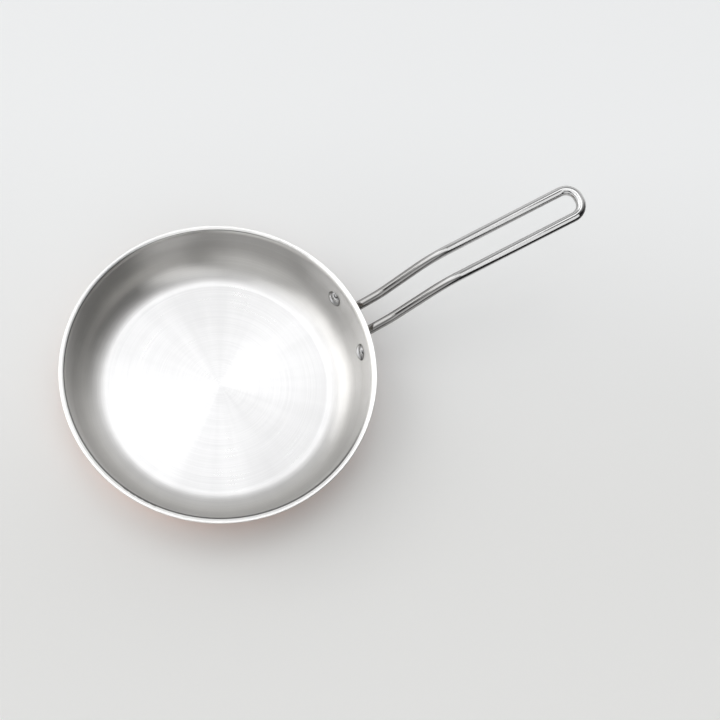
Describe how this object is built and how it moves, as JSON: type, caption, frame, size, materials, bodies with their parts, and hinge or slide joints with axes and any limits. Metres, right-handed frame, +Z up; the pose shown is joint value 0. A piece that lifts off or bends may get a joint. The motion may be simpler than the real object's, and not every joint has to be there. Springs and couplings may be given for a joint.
{
  "type": "omelette pan",
  "caption": "Round flared steel omelette pan with a turned-out lip, a copper skin on its base and a long bent-wire loop handle riveted through the wall.",
  "frame": {"origin": "centre of the flat base, on the plane that the pan stands on", "axes": "+Z up out of the bowl, +X from the bowl's centre out along the handle, +Y completes the right-handed frame; the pan mirrors across the XZ plane"},
  "size_m": [0.3841, 0.22, 0.1145],
  "materials": {
    "pan_steel": "circular satin brush inside, mirror-polished lip",
    "base_copper": "polished copper, fine circular grain",
    "handle_steel": "mirror-polished stainless steel wire",
    "rivet_steel": "polished stainless steel, domed"
  },
  "bodies": {
    "root": {"pan_body": "pan_steel", "copper_bottom": "base_copper", "handle": "handle_steel", "rivets": "rivet_steel"}
  },
  "joints": []
}
